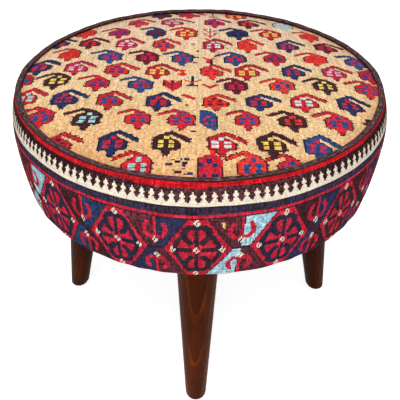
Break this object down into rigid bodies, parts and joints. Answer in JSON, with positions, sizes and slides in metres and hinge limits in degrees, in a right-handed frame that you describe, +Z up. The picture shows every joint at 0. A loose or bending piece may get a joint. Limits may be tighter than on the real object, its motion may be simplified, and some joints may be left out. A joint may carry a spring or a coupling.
{
  "type": "round footstool",
  "caption": "Round upholstered footstool: a crowned pile-rug seat, a welted seam and a patterned flat-woven side on splayed, tapered wooden legs.",
  "frame": {"origin": "on the floor, under the middle of the drum", "axes": "+Z up along the drum's axis; the front leg points to -Y and the right leg to +X"},
  "size_m": [0.5339, 0.534, 0.459],
  "materials": {
    "plywood": "bare birch plywood",
    "hardboard": "bare hardboard",
    "softwood": "sawn softwood",
    "foam": "open-cell foam",
    "wadding": "polyester wadding",
    "pile_rug": "knotted wool pile, camel ground with many-coloured motifs",
    "flat_weave": "flat-woven wool, red, navy and brown with white bands",
    "welt_weave": "dark flat-woven wool strip",
    "dust_cloth": "black non-woven cloth",
    "stained_wood": "dark reddish-brown stain under satin lacquer",
    "zinc_steel": "bright zinc plate",
    "zinc_screws": "yellowish zinc plate",
    "nylon": "moulded nylon"
  },
  "bodies": {
    "root": {"base_board": "plywood", "top_board": "plywood", "hoop": "hardboard", "upright_1": "softwood", "upright_2": "softwood", "upright_3": "softwood", "upright_4": "softwood", "upright_5": "softwood", "upright_6": "softwood", "upright_7": "softwood", "upright_8": "softwood", "side_foam": "foam", "seat_foam": "foam", "wadding": "wadding", "seat_cover": "pile_rug", "side_cover": "flat_weave", "welt": "welt_weave", "dust_cover": "dust_cloth", "leg_front": "stained_wood", "leg_right": "stained_wood", "leg_back": "stained_wood", "leg_left": "stained_wood", "leg_plate_front": "zinc_steel", "leg_plate_right": "zinc_steel", "leg_plate_back": "zinc_steel", "leg_plate_left": "zinc_steel", "hanger_bolt_front": "zinc_steel", "hanger_bolt_right": "zinc_steel", "hanger_bolt_back": "zinc_steel", "hanger_bolt_left": "zinc_steel", "glide_front": "nylon", "glide_right": "nylon", "glide_back": "nylon", "glide_left": "nylon", "plate_screws": "zinc_screws", "base_screws": "zinc_screws", "top_screws": "zinc_screws"}
  },
  "joints": []
}
